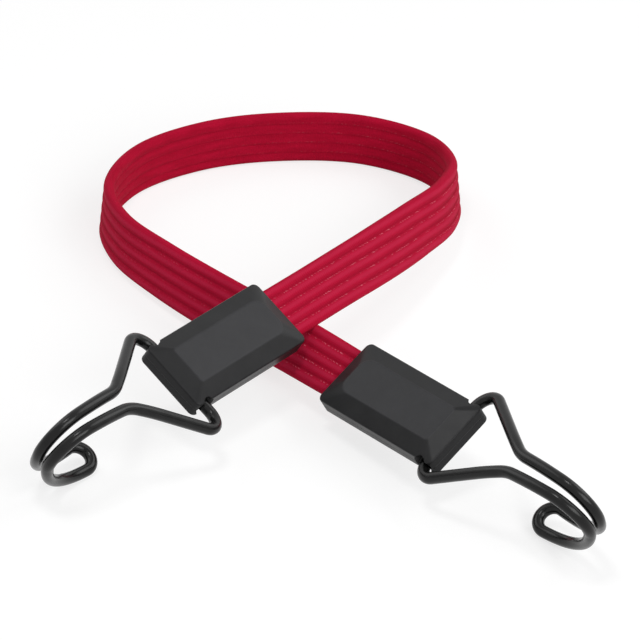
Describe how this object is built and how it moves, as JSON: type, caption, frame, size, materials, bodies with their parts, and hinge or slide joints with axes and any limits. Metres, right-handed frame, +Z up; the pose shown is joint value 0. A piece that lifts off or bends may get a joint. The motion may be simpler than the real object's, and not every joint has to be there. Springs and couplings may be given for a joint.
{
  "type": "flat bungee cord",
  "caption": "Flat ribbed elastic strap with a moulded cap and a swivelling twin-wire hook on each end, lying as a loop with its ends crossed.",
  "frame": {"origin": "on the floor, below the middle of the box round the two caps and their hooks", "axes": "+Z up from the floor, +Y from the hooks towards the back of the strap's loop, +X from the left hook to the right hook"},
  "size_m": [0.1672, 0.2505, 0.0346],
  "materials": {
    "webbing": "woven cover with raised ribs and light stitch specks beside the grooves",
    "rubber": "natural rubber",
    "cap": "soft matte moulding",
    "crimp": "plain pressed sheet",
    "wire": "semi-gloss black coating"
  },
  "bodies": {
    "cord": {"strap_cover": "webbing", "rubber_core_1": "rubber", "rubber_core_2": "rubber", "rubber_core_3": "rubber", "rubber_core_4": "rubber", "rubber_core_5": "rubber", "left_cap_upper_shell": "cap", "left_cap_lower_shell": "cap", "left_strap_crimp": "crimp", "right_cap_upper_shell": "cap", "right_cap_lower_shell": "cap", "right_strap_crimp": "crimp"},
    "left_hook": {"left_hook": "wire"},
    "right_hook": {"right_hook": "wire"}
  },
  "joints": [
    {"name": "left_hook_swivel", "type": "hinge", "parent": "cord", "child": "left_hook", "pos_m": [-0.04457, 0.00789, 0.02238], "axis": [-0.7333, 0.4924, 0.4689], "range_deg": [-125, 135]},
    {"name": "right_hook_swivel", "type": "hinge", "parent": "cord", "child": "right_hook", "pos_m": [0.03714, -0.00443, 0.01934], "axis": [-0.571, -0.5887, -0.5721], "range_deg": [-125, 135]}
  ]
}
